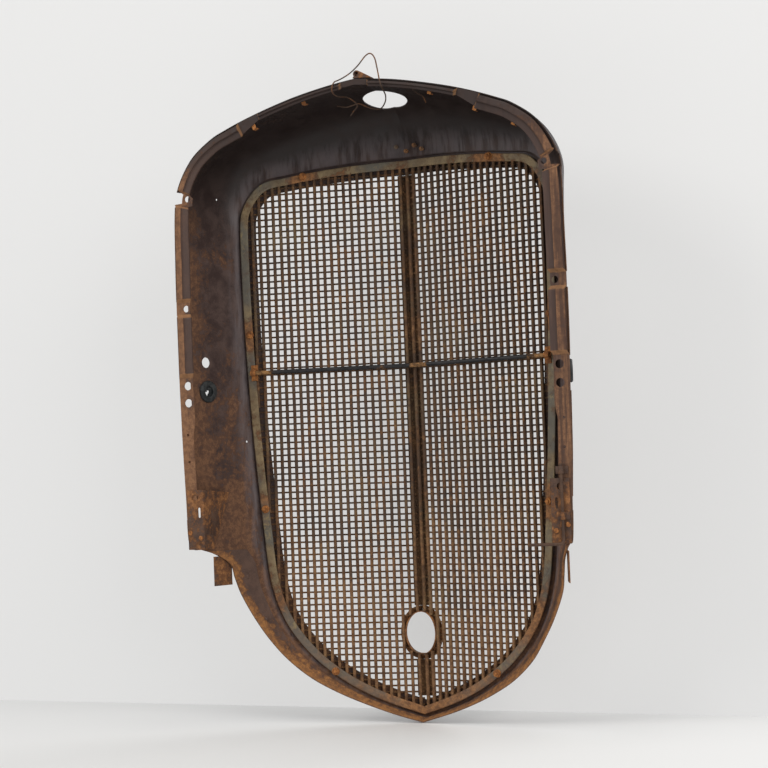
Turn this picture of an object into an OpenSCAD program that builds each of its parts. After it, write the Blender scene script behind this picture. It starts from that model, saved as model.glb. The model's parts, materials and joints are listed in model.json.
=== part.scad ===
// Front grille shell of a 1930s light truck: a deep stamped surround around a V-folded
// wire grille, with its retaining frames, hood ledge, brace, grommets, latch rod and fasteners.
// X is across the truck, Y runs forward, Z is up. The origin lies between the four rear
// mounting holes, on the rear face of the hood ledge. All sizes are in millimetres.

/* [Grille V] */
// Angle of each mesh half from straight across
v_half = 12.65; // [8:0.05:16]
// Forward distance of the mesh fold from the rear face
ridge_y = 167; // [150:1:180]
// Pitch of the upright wires, along the mesh
column_pitch = 11.15; // [10:0.05:13]
// Pitch of the cross wires
row_pitch = 9.525; // [9:0.025:12]
// Width of an upright wire
upright_w = 4.2; // [2.5:0.1:4.5]
// Depth of an upright wire
upright_d = 5; // [3:0.1:6]
// Thickness of a cross wire, forward
cross_w = 2; // [1.5:0.1:3]
// Height of a cross wire
cross_h = 2.6; // [1.5:0.1:3]

/* [Shell] */
// Thickness of the shell sheet
sheet_t = 1.5; // [1.2:0.1:2]
// Height of the rear rim at the centre line
rim_top = 437.5; // [430:0.5:445]
// Half width of the rear rim where it is widest
rim_half_w = 305; // [300:1:310]
// Radius of the rear rim's shoulders
rim_corner_r = 121; // [115:1:125]
// Radius of the grille opening's upper corners
open_corner_r = 62; // [55:1:68]
// Step from the retaining frame's inner edge in to the edge of the shell opening
seat_in = 9; // [6:0.5:12]
// Step from the retaining frame's inner edge out to the crease of the shell
seat_out = 17; // [15:0.5:20]

/* [Rear ledge] */
// Width of the hood ledge
ledge_w = 23; // [20:1:30]
// Height of the raised rail on the ledge
rail_h = 7; // [4:0.5:9]
// Height of the upper mounting holes above the origin
upper_hole_z = 291; // [285:1:295]
// Height of the middle mounting holes above the origin
middle_hole_z = 127.5; // [120:0.5:135]
// Half the spacing of the paired mounting holes
pair_half_z = 12.7; // [12:0.1:14]
// Half the distance across the paired mounting holes
pair_half_x = 290; // [288:0.5:292]
// Radius of the paired mounting holes
pair_hole_r = 6.2; // [5:0.1:7]

/* [Openings] */
// Radius of the radiator cap hole in the top of the shell
cap_hole_r = 33; // [30:0.5:35]
// Forward distance of the cap hole's centre
cap_hole_y = 109; // [104:1:114]
// Height of the starting crank hole's centre
crank_z = -368.5; // [-372:0.5:-364]
// Half width of the crank hole, along the mesh
crank_a = 24; // [20:0.5:26]
// Half height of the crank hole
crank_b = 31; // [27:0.5:33]

/* [Fittings] */
// Width of the retaining frame
frame_w = 12; // [10:0.5:14]
// Thickness of the retaining frame
frame_t = 2; // [1.5:0.1:2.5]
// Diameter of the brace rod
rod_d = 6.4; // [5:0.1:8]
// Height of the brace rod
rod_z = 32; // [25:1:40]
// Radius of the grommet holes in the side walls
grommet_hole_r = 13; // [11:0.5:14]
// Height of the grommets
grommet_z = 5; // [0:1:10]
// Forward distance of the grommets
grommet_y = 49; // [42:1:54]
// Diameter of the latch rod
latch_d = 4.4; // [4:0.1:5]
// Reach of the latch rod's arm
latch_arm = 45; // [40:1:50]
// Diameter of the hanging wire
wire_d = 2; // [1.6:0.1:2.4]

/* [Hidden] */
$fn = 48;

v_tan = tan(v_half);
v_cos = cos(v_half);
mesh_d = upright_d + cross_w;
columns = 22;
rows_up = 35;
rows_down = 51;
grip = 6;

// Outline keys of the right half, from the top centre round to the bottom tip.
// Each key holds the rear rim's point [x, y, z] and the frame edge's point [x, z].
crown_keys = [for (x = [0, 45, 90, 135, 175, 212])
    [[x, sheet_t, rim_top - 0.09 * x - 0.0007 * x * x],
     [x * 0.83, 330 - 0.00027 * x * x]]];
corner_keys = [for (a = [62, 42, 20, 0])
    [[182 + rim_corner_r * cos(a), sheet_t, 268 + rim_corner_r * sin(a)],
     [178 + open_corner_r * cos(a), 258 + open_corner_r * sin(a)]]];
side_keys = [for (z = [190, 110, 20, -70, -150, -222])
    [[rim_half_w - 7 * pow((z - 110) / 320, 2), sheet_t, z],
     [240.5 - 21.5 * pow((240 - z) / 462, 2), z]]];
skirt_keys = [
    [[288, 18, -231], [218.5, -232]],
    [[277, 39, -239], [217.5, -243]],
    [[264, 63, -256], [216, -258]],
    [[260, 69, -277], [214, -274]],
    [[254, 77, -303], [211, -290]],
    [[237, 86, -340], [204, -317]],
    [[217, 94, -373], [192, -345]],
    [[194, 105, -403], [173, -373]],
    [[162, 116, -431], [147, -401]],
    [[125, 127, -453], [115, -426]],
    [[86, 138, -471], [79, -447]],
    [[43, 148, -487], [40, -464]],
    [[0, 158, -500], [0, -478]]];
keys = concat(crown_keys, corner_keys, side_keys, skirt_keys);
last = len(keys) - 1;

// A smooth curve through the keys: one point at position u
function key(i) = keys[max(0, min(last, i))];
function spline(a, b, c, d, t) =
    0.5 * (2 * b + (c - a) * t + (2 * a - 5 * b + 4 * c - d) * t * t
    + (3 * b - a - 3 * c + d) * t * t * t);
function along(u, which) = let (i = min(last - 1, floor(u)), t = u - i)
    spline(key(i - 1)[which], key(i)[which], key(i + 1)[which], key(i + 2)[which], t);
function rim_at(u) = let (p = along(u, 0)) u <= 0 || u >= last ? [0, p[1], p[2]] : p;
function edge_at(u) = let (p = along(u, 1)) u <= 0 || u >= last ? [0, p[1]] : p;
function unit(v) = v / norm(v);
// Outward direction in the XZ plane at position u
function out_at(u) = u <= 0 ? [0, 1] : u >= last ? [0, -1]
    : let (r = rim_at(u), e = edge_at(u)) unit([r[0] - e[0], r[2] - e[1]]);
// Rear face of the mesh at distance x from the fold
function mesh_y(x) = ridge_y - x * v_tan;
seat_y = mesh_d / v_cos;

// One line across the shell sheet, from the opening's edge out to the rear rim.
// The top of the shell runs almost level and turns down sharply; its sides slope straight in.
wall_steps = [0, 0.08, 0.18, 0.3, 0.42, 0.54, 0.66, 0.78, 0.9, 1];
first_wall = 3;
function bezier(a, b, c, d, t) = a * pow(1 - t, 3) + 3 * b * t * pow(1 - t, 2)
    + 3 * c * t * t * (1 - t) + d * pow(t, 3);
function mix(a, b, t) = a + (b - a) * t;
function seat_point(e, n, off, back) = let (p = e + n * off)
    [p[0], mesh_y(p[0]) + seat_y - back, p[1]];
function section(u) =
    let (r = rim_at(u), e = edge_at(u), n = out_at(u), top = max(0, n[1]),
        crease = seat_point(e, n, seat_out, 1),
        level = [r[0] - crease[0], 0, r[2] - crease[2]],
        depth = [0, crease[1] - r[1], 0],
        b1 = crease + mix(0.5, 0.97, top) * level - mix(0.25, -0.01, top) * depth,
        b2 = r - mix(0.42, 0.05, top) * level + mix(0.4, 0.7, top) * depth)
    concat([for (off = [-seat_in, 4, seat_out - 3]) seat_point(e, n, off, 0)],
        [for (t = wall_steps) bezier(crease, b1, b2, r, t)]);

// A closed sheet between two grids of points of the same size
module skin(near, far) {
    m = len(near);
    k = len(near[0]);
    n = m * k;
    points = concat([for (row = near, p = row) p], [for (row = far, p = row) p]);
    quads = concat(
        [for (i = [0:m - 2], j = [0:k - 2])
            [i * k + j, i * k + j + 1, (i + 1) * k + j + 1, (i + 1) * k + j]],
        [for (i = [0:m - 2], j = [0:k - 2])
            [n + i * k + j, n + (i + 1) * k + j, n + (i + 1) * k + j + 1, n + i * k + j + 1]],
        [for (i = [0:m - 2]) [i * k, (i + 1) * k, n + (i + 1) * k, n + i * k]],
        [for (i = [0:m - 2])
            [i * k + k - 1, n + i * k + k - 1, n + (i + 1) * k + k - 1, (i + 1) * k + k - 1]],
        [for (j = [0:k - 2]) [j, n + j, n + j + 1, j + 1]],
        [for (j = [0:k - 2]) [n - k + j, n - k + j + 1, 2 * n - k + j + 1, 2 * n - k + j]]);
    polyhedron(points, [for (q = quads, h = [[0, 1, 2], [0, 2, 3]]) [for (c = h) q[c]]]);
}
// Outward normal of a grid: level across the centre plane and on the rear rim
function grid_normal(g, i, j) =
    let (m = len(g) - 1, k = len(g[0]) - 1,
        a = g[min(m, i + 1)][j] - g[max(0, i - 1)][j],
        b = g[i][min(k, j + 1)] - g[i][max(0, j - 1)],
        c = cross(b, a))
    unit([abs(g[i][0][0]) < 0.01 ? 0 : c[0], j == k ? 0 : c[1], c[2]]);
function moved_out(g, t) = [for (i = [0:len(g) - 1])
    [for (j = [0:len(g[0]) - 1]) g[i][j] + t * grid_normal(g, i, j)]];

// Places on the outline and on the side walls
function u_at_x(x) = lookup(x, [for (i = [0:len(crown_keys) - 1]) [keys[i][0][0], i]]);
function u_at_z(z) = lookup(z, [for (i = [last:-1:4]) [keys[i][0][2], i]]);
side_end = len(crown_keys) + len(corner_keys) + len(side_keys) - 1;
function wall_x(y, z) = let (s = section(u_at_z(z)))
    lookup(y, [for (k = [len(s) - 1:-1:first_wall]) [s[k][1], s[k][0]]]);
function wall_turn(y, z) = atan((wall_x(y - 8, z) - wall_x(y + 8, z)) / 16);

// Frames of reference: on the mesh (x along it, z up, y forward from its rear face),
// and on the side wall (z outward)
module on_mesh() translate([0, ridge_y, 0]) rotate([0, 0, -v_half]) children();
module at_wall(y, z) translate([wall_x(y, z), y, z]) rotate([0, 0, wall_turn(y, z)])
    rotate([0, 90, 0]) children();
module both() {
    children();
    mirror([1, 0, 0]) children();
}
// A cylinder along +y from y0 to y1
module rod_y(x, y0, y1, z, r) translate([x, y0, z]) rotate([-90, 0, 0]) cylinder(h = y1 - y0, r = r);

// Frame bolts lie between the wires: places in columns and rows
bolt_places = [for (p = [[14, 34.5], [22.3, 9.5], [21, -18.5], [12, -44.5]])
    [p[0] * column_pitch, p[1] * row_pitch]];
bolt_r = 2.4;
bolt_hole_r = 2.6;

// Notches in the wall's rear edge, behind the mounting holes: bottom, top and depth
wall_notches = [[-24, 24, 20], [middle_hole_z - 11, middle_hole_z + 11, 22], [281, 303, 28],
    [-186, -167, 46]];

module shell_half() {
    inner = [for (s = [0:2 * last]) section(s / 2)];
    difference() {
        skin(inner, moved_out(inner, sheet_t));
        translate([0, cap_hole_y, 380]) cylinder(h = 80, r = cap_hole_r);
        at_wall(grommet_y, grommet_z) cylinder(h = 20, r = grommet_hole_r, center = true);
        at_wall(grommet_y, grommet_z + 44) cylinder(h = 20, r = 8, center = true);
        for (c = wall_notches) translate([270, -1, c[0]]) cube([60, c[2] + 1, c[1] - c[0]]);
        on_mesh() for (p = bolt_places) rod_y(p[0], 0, 14, p[1], bolt_hole_r);
    }
}
module shell_right() color("#3c2c2b") shell_half();
module shell_left() color("#3c2c2b") mirror([1, 0, 0]) shell_half();

// Hood ledge: raised rails between flat recesses that hold the mounting holes.
// Each span is a raised stretch, from one place on the outline to another.
raised_spans = [[u_at_x(26), u_at_x(155)], [u_at_x(192), u_at_z(309)],
    [u_at_z(278), u_at_z(142)], [u_at_z(113), u_at_z(31)]];
ramp = 0.06;
function stretch(a, b, h) = let (n = max(1, ceil((b - a) / 0.5)))
    [for (k = [0:n]) [a + (b - a) * k / n, h]];
// At the upper mounting hole the ledge steps in from the rim and is a little wider inside.
ear = [u_at_z(303), u_at_z(286)];
ear_in = 12;
ear_w = 8;
// The rail stands in a little from the rim, and the plain ledge below it is narrower.
rail_in = 3;
low_in = 4;
function span_stations(s) = concat([[s[0] - ramp, 0]], stretch(s[0], s[1], 1), [[s[1] + ramp, 0]]);
ledge_stations = concat([[0, 0]], span_stations(raised_spans[0]), span_stations(raised_spans[1]),
    [for (u = ear) [u, 0]], span_stations(raised_spans[2]), span_stations(raised_spans[3]),
    [for (u = [12.5:0.5:side_end]) [u, 0]]);
// Ledge section: share of the width, and height of the rail, from inside to outside
ledge_profile = [[1, 0.5], [0.88, 0.55], [0.52, 0.6], [0.44, 1], [0.01, 0.5]];
function at_ear(u) = u >= ear[0] && u <= ear[1] ? 1 : 0;
// The ledge is narrow along the top and keeps most of its width round the shoulders.
function ledge_width(u) = ledge_w + at_ear(u) * (ear_w - ear_in)
    - lookup(u, [[u_at_z(-40), 0], [u_at_z(-60), low_in]])
    - (ledge_w - 8) * max(0, out_at(u)[1]) * lookup(u, [[u_at_x(155), 1], [u_at_x(192), 0.25]]);
function ledge_row(u, h) = let (r = rim_at(u), n = out_at(u), w = ledge_width(u), i = max(at_ear(u) * ear_in, h * rail_in))
    [for (p = ledge_profile) [r[0] - n[0] * (p[0] * w + i), -h * p[1] * rail_h, r[2] - n[1] * (p[0] * w + i)]];
small_hole_r = 2;
module ledge_half() {
    rear = [for (s = ledge_stations) ledge_row(s[0], s[1])];
    difference() {
        skin(rear, [for (row = rear) [for (p = row) p + [0, sheet_t, 0]]]);
        for (z = [-pair_half_z, pair_half_z]) rod_y(pair_half_x, -5, 5, z, pair_hole_r);
        rod_y(288.5, -5, 5, middle_hole_z, 5);
        rod_y(280, -5, 5, upper_hole_z, 4.5);
        rod_y(293, -5, 5, -60, small_hole_r);
        rod_y(292, -5, 5, -100, small_hole_r);
    }
}
module hood_ledge_right() color("#6d4a2f") ledge_half();
module hood_ledge_left() color("#6d4a2f") mirror([1, 0, 0]) ledge_half();

// Mesh: upright wires behind, cross wires laid on their front. Both end under the frame.
top_edge = [for (u = [0:0.5:9]) let (e = edge_at(u)) [e[0], e[1]]];
bottom_edge = [for (u = [last:-0.5:10]) let (e = edge_at(u)) [e[0], e[1]]];
side_edge = [for (u = [last:-0.5:6]) let (e = edge_at(u)) [e[1], e[0]]];
hole_a = crank_a + 1.6;
hole_b = crank_b + 1.6;
function oval(s, a, b) = abs(s) < a ? b * sqrt(1 - pow(s / a, 2)) : 0;
module upright(s, z0, z1) translate([s - upright_w / 2, 0, z0]) cube([upright_w, upright_d, z1 - z0]);
module uprights() on_mesh() for (i = [0:columns - 1]) {
    s = (i + 0.5) * column_pitch;
    x = s * v_cos;
    z1 = lookup(x, top_edge) + grip;
    z0 = lookup(x, bottom_edge) - grip;
    gap = oval(s - upright_w / 2, hole_a, hole_b);
    if (gap > 0) {
        upright(s, crank_z + gap, z1);
        upright(s, z0, crank_z - gap);
    } else upright(s, z0, z1);
}
module cross_wires() on_mesh() for (j = [-rows_down:rows_up]) {
    z = j * row_pitch;
    s1 = (z > 316 ? 150 : lookup(z, side_edge) + grip) / v_cos;
    near = max(0, abs(z - crank_z) - cross_h / 2);
    s0 = near < hole_b ? oval(near, hole_b, hole_a) : 0;
    translate([s0, upright_d, z - cross_h / 2]) cube([s1 - s0, cross_w, cross_h]);
}
module uprights_right() color("#4a3322") uprights();
module uprights_left() color("#4a3322") mirror([1, 0, 0]) uprights();
module cross_wires_right() color("#4a3322") cross_wires();
module cross_wires_left() color("#4a3322") mirror([1, 0, 0]) cross_wires();

// Retaining frame: a flat band that clamps each mesh half's edge to the shell's seat
function band_points(off) = [for (u = [0:0.5:last]) let (e = edge_at(u), n = out_at(u), p = e + n * off)
    [max(0.5, p[0] / v_cos), p[1]]];
function backwards(l) = [for (i = [len(l) - 1:-1:0]) l[i]];
module frame_half() on_mesh() difference() {
    rotate([90, 0, 0]) linear_extrude(frame_t)
        polygon(concat(band_points(0), backwards(band_points(frame_w))));
    for (p = bolt_places) rod_y(p[0], -6, 6, p[1], bolt_hole_r);
}
module retaining_frame_right() color("#6b6040") frame_half();
module retaining_frame_left() color("#6b6040") mirror([1, 0, 0]) frame_half();

// Centre moulding: a folded strip on the front of the fold, above and below the crank hole
moulding_half_w = 12;
ring_w = 9;
function fold_y(x, off) = ridge_y + off / v_cos - abs(x) * v_tan;
module chevron(z0, z1, off, t, w) translate([0, 0, z0]) linear_extrude(z1 - z0) polygon(
    [[-w, fold_y(w, off)], [0, fold_y(0, off)], [w, fold_y(w, off)],
     [w, fold_y(w, off + t)], [0, fold_y(0, off + t)], [-w, fold_y(w, off + t)]]);
module centre_moulding() color("#4a3322") {
    chevron(crank_z + crank_b + ring_w + 0.2, 330 - seat_in - 0.5, mesh_d, sheet_t, moulding_half_w);
    chevron(seat_in - 478 + 6, crank_z - crank_b - ring_w - 0.2, mesh_d, sheet_t, moulding_half_w);
}

// Crank hole ring: a flange on the front with a collar back through the mesh
function half_oval(a, b) = [for (t = [-93:6:93]) [a * cos(t), crank_z + b * sin(t)]];
module half_ring(w, y0, y1) translate([0, y1, 0]) rotate([90, 0, 0]) linear_extrude(y1 - y0)
    polygon(concat(half_oval(crank_a, crank_b), backwards(half_oval(crank_a + w, crank_b + w))));
module crank_ring() color("#5c3f1c") both() on_mesh() {
    half_ring(1.5, 0, mesh_d);
    half_ring(ring_w, mesh_d, mesh_d + sheet_t);
}

// Brace rod across the rear of the mesh, bent to the V and held in a tab at each end
rod_y_off = -7.2;
rod_end = 247;
tab_s = 244;
module brace_rod() color("#1e1e22") both() difference() {
    on_mesh() translate([-5, rod_y_off, rod_z]) rotate([0, 90, 0])
        cylinder(h = rod_end + 5, r = rod_d / 2);
    translate([-20, ridge_y - 30, rod_z - 10]) cube([20, 40, 20]);
}
module brace_tab() on_mesh() translate([tab_s, 0, rod_z]) difference() {
    union() {
        translate([-6, -frame_t - 1.5, -12]) cube([10, 1.5, 24]);
        translate([-4, rod_y_off, 0]) rotate([0, 90, 0]) cylinder(h = 8, r = rod_d / 2 + 1.5);
    }
    translate([-10, rod_y_off, 0]) rotate([0, 90, 0]) cylinder(h = 20, r = rod_d / 2 + 0.06);
}
module brace_tab_right() color("#8a5a30") brace_tab();
module brace_tab_left() color("#8a5a30") mirror([1, 0, 0]) brace_tab();

// Corner bracket: a rear plate with a slot, and a web running forward to the side wall
bracket_x = 271;
bracket_z0 = -230;
bracket_z1 = -142;
bracket_t = 2;
web_lean = 5;
bracket_rivets = [[293.3, -205], [276, -213]];
module corner_bracket() {
    difference() {
        translate([bracket_x, -bracket_t, bracket_z0]) cube([26, bracket_t, bracket_z1 - bracket_z0]);
        translate([275.5, -5, -181]) cube([4.4, 10, 11]);
        for (z = [-181, -170]) rod_y(277.7, -5, 5, z, 2.2);
        rod_y(284, -5, 5, -153, 5);
        for (p = bracket_rivets) rod_y(p[0], -5, 5, p[1], 2.1);
    }
    translate([bracket_x - 1.5, 0, 0]) rotate([0, 0, web_lean]) rotate([90, 0, 90]) linear_extrude(1.5)
        polygon([[-bracket_t, bracket_z0], [22, bracket_z0], [66, bracket_z1 - 6], [0, bracket_z1],
            [-bracket_t, bracket_z1]]);
}
module corner_bracket_right() color("#6d4a2f") corner_bracket();
module corner_bracket_left() color("#6d4a2f") mirror([1, 0, 0]) corner_bracket();

// Side tab: the square lower end of the outer side skin, outside the wall
module side_tab() translate([278, 38, -287]) rotate([0, 0, 22]) cube([1.5, 34, 44]);
module side_tab_right() color("#5a3d28") side_tab();
module side_tab_left() color("#5a3d28") mirror([1, 0, 0]) side_tab();

// Lip strip: a reinforcing strip inside the lower wall, from the bracket down to the tip
strip_gap = 0.1;
strip_t = 1.2;
module lip_strip() {
    rows = [for (s = [2 * side_end + 3:2 * last]) section(s / 2)];
    outer = [for (g = moved_out(rows, -strip_gap)) [for (j = [7:len(g) - 1]) g[j]]];
    inner = [for (g = moved_out(rows, -strip_gap - strip_t)) [for (j = [7:len(g) - 1]) g[j]]];
    skin(inner, outer);
}
module lip_strip_right() color("#8a5a30") lip_strip();
module lip_strip_left() color("#8a5a30") mirror([1, 0, 0]) lip_strip();

// Rubber grommets, gripping the side wall in a groove
grommet_bore_r = 8;
grommet_lip_r = 16.5;
module grommet() at_wall(grommet_y, grommet_z) rotate_extrude() polygon([
    [grommet_bore_r, -5], [15, -5], [grommet_lip_r, -3], [grommet_lip_r, -0.6],
    [grommet_hole_r - 0.2, -0.6], [grommet_hole_r - 0.2, 2.2], [grommet_lip_r, 2.2],
    [grommet_lip_r, 4.5], [15, 6.5], [grommet_bore_r, 6.5]]);
module grommet_right() color("#17181a") grommet();
module grommet_left() color("#17181a") mirror([1, 0, 0]) grommet();

// Hood hinge bracket: a socket for the hood's centre hinge rod, on the top of the rim
hinge_x = 3;
hinge_z = 445.2;
hinge_r = 5;
hinge_bore_r = 3.3;
hinge_y = [2, 16];
module hood_hinge_bracket() color("#4a3322") difference() {
    union() {
        rod_y(hinge_x, hinge_y[0], hinge_y[1], hinge_z, hinge_r);
        translate([0, hinge_y[1], 0]) rotate([90, 0, 0]) linear_extrude(hinge_y[1] - hinge_y[0])
            polygon([[-3, 439.6], [24, 437.6], [24, 439], [5, 450], [2, 446]]);
    }
    rod_y(hinge_x, hinge_y[0] - 1, hinge_y[1] + 1, hinge_z, hinge_bore_r);
}

// Latch rod: turns about its upright leg in two clips, and its arm swings in or back
latch_x = 287;
latch_y = -5.2;
latch_top = -122;
latch_foot = -231;
latch_rest = 15;
module latch_rod() color("#5a3d28") translate([latch_x, latch_y, 0]) {
    translate([0, 0, latch_foot]) cylinder(h = latch_top - latch_foot, r = latch_d / 2);
    translate([0, 0, latch_foot]) sphere(r = latch_d / 2);
    translate([0, 0, latch_foot]) rotate([0, 0, 180 + latch_rest]) rotate([0, 90, 0]) {
        cylinder(h = latch_arm, r = latch_d / 2);
        translate([0, 0, latch_arm]) sphere(r = latch_d / 2);
    }
}
// Two straps round the latch rod: one on the ledge, one on the bracket
latch_fit = 0.08;
module latch_clip(z, face) difference() {
    union() {
        translate([latch_x, latch_y, z - 5]) cylinder(h = 10, r = latch_d / 2 + 1.5);
        translate([latch_x - 9, face - 1.5, z - 5]) cube([18, 1.5, 10]);
    }
    translate([latch_x, latch_y, z - 6]) cylinder(h = 12, r = latch_d / 2 + latch_fit);
    translate([latch_x - 10, face, z - 6]) cube([20, 5, 12]);
}
module latch_clips() color("#6d4a2f") {
    latch_clip(-131, 0);
    latch_clip(-193, -bracket_t);
}

// Frame fasteners: round-head bolts from the front, with washers and nuts on the rear
nut_af = 9;
module frame_bolts() color("#5c3f1c") both() on_mesh() for (p = bolt_places) {
    rod_y(p[0], -frame_t - 7, mesh_d + sheet_t, p[1], bolt_r);
    rod_y(p[0], mesh_d + sheet_t, mesh_d + sheet_t + 2.5, p[1], 5);
}
module frame_nuts() color("#6d4a2f") both() on_mesh() for (p = bolt_places) difference() {
    union() {
        rod_y(p[0], -frame_t - 1, -frame_t, p[1], 6);
        translate([p[0], -frame_t - 5, p[1]]) rotate([-90, 0, 0])
            cylinder(h = 4, r = nut_af / 2 / cos(30), $fn = 6);
    }
    rod_y(p[0], -frame_t - 8, 0, p[1], bolt_r + 0.02);
}

// Rivets through each corner bracket and the ledge behind it
module bracket_rivets() color("#6d4a2f") both() for (p = bracket_rivets) {
    rod_y(p[0], -bracket_t, 0, p[1], 2);
    rod_y(p[0], -bracket_t - 1.4, -bracket_t, p[1], 3.6);
}
// Rivets of the lip strip: heads on its inner face
lip_rivet_u = [side_end + 4, side_end + 6.2, side_end + 7.6, side_end + 11];
module lip_rivets() color("#8a5a30") both() for (u = lip_rivet_u) {
    i = floor(2 * u) / 2;
    s = section(i);
    s_next = section(i + 0.5);
    p = mix(s[9], s_next[9], 2 * (u - i));
    n = unit(cross(s[10] - s[8], s_next[9] - s[9]));
    b = acos(n[2]);
    c = atan2(n[1], n[0]);
    translate(p - n * (strip_gap + strip_t + 0.25)) rotate([0, b, c]) translate([0, 0, -1.6])
        cylinder(h = 1.6, r1 = 2.4, r2 = 4);
}

// Studs welded inside the header, over the fold, and their nuts
header_places = [[-9, 364], [7, 356], [22, 363], [35, 356]];
stud_l = 11;
function header_y(p) = let (s = section(abs(p[0]) / 39))
    lookup(p[1], [for (k = [first_wall:len(s) - 1]) [s[k][2], s[k][1]]]) - 1.2;
module header_studs() color("#6b6040") for (p = header_places)
    rod_y(p[0], header_y(p) - stud_l, header_y(p), p[1], 2);
module header_stud_nuts() color("#6d4a2f") for (p = header_places) difference() {
    translate([p[0], header_y(p) - 8, p[1]]) rotate([-90, 0, 0]) cylinder(h = 3, r = 3.6, $fn = 6);
    rod_y(p[0], header_y(p) - 9, header_y(p), p[1], 2.02);
}

// Small bent clips on the inner edge of the ledge, for the lacing under the hood's edge
clip_x = [-170, -84, 117, 190, 250];
module rim_clips() color("#8a5a30") for (x = clip_x) {
    u = abs(x) < 212 ? u_at_x(abs(x)) : lookup(abs(x), [[212, 5], [238.8, 6], [271.9, 7]]);
    r = rim_at(u);
    n = out_at(u);
    w = ledge_width(u);
    mirror([x < 0 ? 1 : 0, 0, 0]) translate([r[0] - n[0] * w, 0, r[2] - n[1] * w])
        rotate([0, atan2(n[0], n[1]), 0]) {
            translate([-3, sheet_t, 0]) cube([6, 1, 5]);
            translate([-3, sheet_t, -6]) cube([6, 9, 1]);
            translate([-3, sheet_t, -6]) cube([6, 1, 6.5]);
        }
}

// A bent wire of diameter d through points p
function smooth_path(p, n) = let (m = len(p) - 1) concat([for (i = [0:m - 1], k = [0:n - 1])
    spline(p[max(0, i - 1)], p[i], p[i + 1], p[min(m, i + 2)], k / n)], [p[m]]);
function rings(p, r, i = 0, prev = [0.2, 1, 0.3]) = i == len(p) ? [] :
    let (t = unit(p[min(len(p) - 1, i + 1)] - p[max(0, i - 1)]),
        n = unit(prev - t * (prev * t)), b = cross(t, n))
    concat([[for (k = [0:7]) p[i] + r * (cos(45 * k) * n + sin(45 * k) * b)]], rings(p, r, i + 1, n));
module wire(p, d) {
    g = rings(p, d / 2);
    m = len(g);
    sides = [for (i = [0:m - 2], k = [0:7]) let (a = i * 8 + k, b = i * 8 + (k + 1) % 8)
        each [[a, a + 8, b + 8], [a, b + 8, b]]];
    caps = [[for (k = [0:7]) k], [for (k = [7:-1:0]) (m - 1) * 8 + k]];
    polyhedron([for (row = g, q = row) q], concat(sides, caps));
}
wire_route = [
    [-52, 52, 413], [-35, 48, 409], [-23, 45, 410], [-13, 44, 411], [-3, 48, 406], [7, 52, 402],
    [20, 48, 401], [32, 36, 407], [39, 22, 413], [43, 6, 417], [46, -7, 420], [45, -10.5, 427],
    [41, -9, 447], [37, -7, 462], [30, -5, 470], [21, -3, 468], [7, 0, 456], [-7, 4, 448],
    [-20, 8, 443.5], [-28, 6, 440], [-29, -4, 436], [-30, -11, 428], [-31, -7, 420], [-32, 12, 418],
    [-25, 28, 419], [-19, 40, 414], [-17, 46, 408], [-25, 50, 402], [-31, 52, 396]];
stub_route = [
    [85, 4, 422], [82, 20, 417], [85, 34, 412], [87, 46, 410], [87, 56, 403]];
module hanging_wire() color("#5a4434") wire(smooth_path(wire_route, 2), wire_d);
module wire_stub() color("#5a4434") wire(smooth_path(stub_route, 3), wire_d);

shell_left();
shell_right();
hood_ledge_left();
hood_ledge_right();
uprights_left();
uprights_right();
cross_wires_left();
cross_wires_right();
retaining_frame_left();
retaining_frame_right();
centre_moulding();
crank_ring();
brace_rod();
brace_tab_left();
brace_tab_right();
corner_bracket_left();
corner_bracket_right();
side_tab_left();
side_tab_right();
lip_strip_left();
lip_strip_right();
grommet_left();
grommet_right();
hood_hinge_bracket();
latch_rod();
latch_clips();
frame_bolts();
frame_nuts();
bracket_rivets();
lip_rivets();
header_studs();
header_stud_nuts();
rim_clips();
hanging_wire();
wire_stub();
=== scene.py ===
import json
import math
import bmesh
import bpy
import numpy as np
from mathutils import Matrix, Vector, kdtree, noise


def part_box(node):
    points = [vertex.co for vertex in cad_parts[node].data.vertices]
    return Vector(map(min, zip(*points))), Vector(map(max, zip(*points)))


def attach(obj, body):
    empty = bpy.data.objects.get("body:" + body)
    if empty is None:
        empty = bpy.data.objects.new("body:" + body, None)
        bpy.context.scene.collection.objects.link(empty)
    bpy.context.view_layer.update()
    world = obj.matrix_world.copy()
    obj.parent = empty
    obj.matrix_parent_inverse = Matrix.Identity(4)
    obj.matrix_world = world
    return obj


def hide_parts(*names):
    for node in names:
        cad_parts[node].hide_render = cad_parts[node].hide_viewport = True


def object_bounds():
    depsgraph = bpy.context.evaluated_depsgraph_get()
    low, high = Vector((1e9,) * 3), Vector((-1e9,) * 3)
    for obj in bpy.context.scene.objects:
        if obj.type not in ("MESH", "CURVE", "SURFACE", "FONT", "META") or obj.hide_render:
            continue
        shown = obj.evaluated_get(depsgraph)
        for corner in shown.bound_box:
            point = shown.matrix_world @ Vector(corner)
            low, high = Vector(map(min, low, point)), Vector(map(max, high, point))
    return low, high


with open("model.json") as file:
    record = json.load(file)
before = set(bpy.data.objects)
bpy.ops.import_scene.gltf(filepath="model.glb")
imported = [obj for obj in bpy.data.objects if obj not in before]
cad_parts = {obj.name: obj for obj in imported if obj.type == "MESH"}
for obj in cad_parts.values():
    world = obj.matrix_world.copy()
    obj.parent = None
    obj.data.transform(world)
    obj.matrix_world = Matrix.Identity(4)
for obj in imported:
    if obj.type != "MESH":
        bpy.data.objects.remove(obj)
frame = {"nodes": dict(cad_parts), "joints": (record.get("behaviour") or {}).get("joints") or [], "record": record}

cad_low, cad_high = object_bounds()
mm = 0.001

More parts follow.
